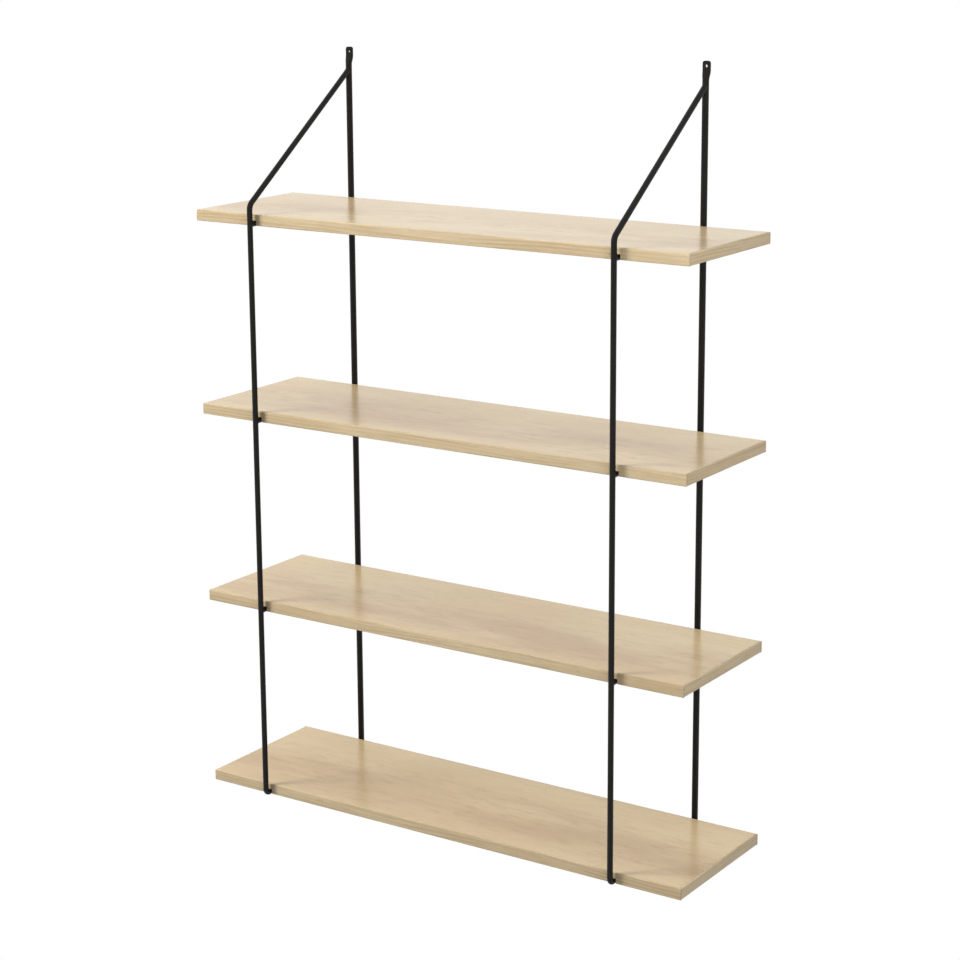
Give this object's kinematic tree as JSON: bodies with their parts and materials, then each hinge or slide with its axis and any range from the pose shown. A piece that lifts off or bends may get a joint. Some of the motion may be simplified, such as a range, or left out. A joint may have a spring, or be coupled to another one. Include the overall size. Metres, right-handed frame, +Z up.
{
  "type": "wall shelf",
  "caption": "Wall shelf whose wood-effect boards rest by underside grooves on the crossbars of bent-wire side frames, hung from screws through flattened wire ends",
  "frame": {"origin": "on the wall, midway between the two screw holes", "axes": "+X to the right along the boards seen from the room, +Y into the wall, +Z up"},
  "size_m": [0.7, 0.2155, 0.9528],
  "materials": {
    "oak_board": "satin oak-effect melamine face",
    "oak_edge": "satin oak-effect edge band",
    "black_wire": "satin black powder coat"
  },
  "bodies": {
    "wall_frames": {"left_rear_upright": "black_wire", "left_front_wire": "black_wire", "left_top_crossbar": "black_wire", "left_upper_crossbar": "black_wire", "left_lower_crossbar": "black_wire", "right_rear_upright": "black_wire", "right_front_wire": "black_wire", "right_top_crossbar": "black_wire", "right_upper_crossbar": "black_wire", "right_lower_crossbar": "black_wire"},
    "top_board": {"top_board_panel": "oak_board", "top_board_front_band": "oak_edge", "top_board_rear_band": "oak_edge", "top_board_left_band": "oak_edge", "top_board_right_band": "oak_edge"},
    "upper_board": {"upper_board_panel": "oak_board", "upper_board_front_band": "oak_edge", "upper_board_rear_band": "oak_edge", "upper_board_left_band": "oak_edge", "upper_board_right_band": "oak_edge"},
    "lower_board": {"lower_board_panel": "oak_board", "lower_board_front_band": "oak_edge", "lower_board_rear_band": "oak_edge", "lower_board_left_band": "oak_edge", "lower_board_right_band": "oak_edge"},
    "bottom_board": {"bottom_board_panel": "oak_board", "bottom_board_front_band": "oak_edge", "bottom_board_rear_band": "oak_edge", "bottom_board_left_band": "oak_edge", "bottom_board_right_band": "oak_edge"}
  },
  "joints": [
    {"name": "top_board_lift", "type": "slide", "parent": "wall_frames", "child": "top_board", "axis": [0, 0, 1], "range_m": [0, 0.01]},
    {"name": "upper_board_lift", "type": "slide", "parent": "wall_frames", "child": "upper_board", "axis": [0, 0, 1], "range_m": [0, 0.23]},
    {"name": "lower_board_lift", "type": "slide", "parent": "wall_frames", "child": "lower_board", "axis": [0, 0, 1], "range_m": [0, 0.23]},
    {"name": "bottom_board_lift", "type": "slide", "parent": "wall_frames", "child": "bottom_board", "axis": [0, 0, 1], "range_m": [0, 0.23]}
  ]
}
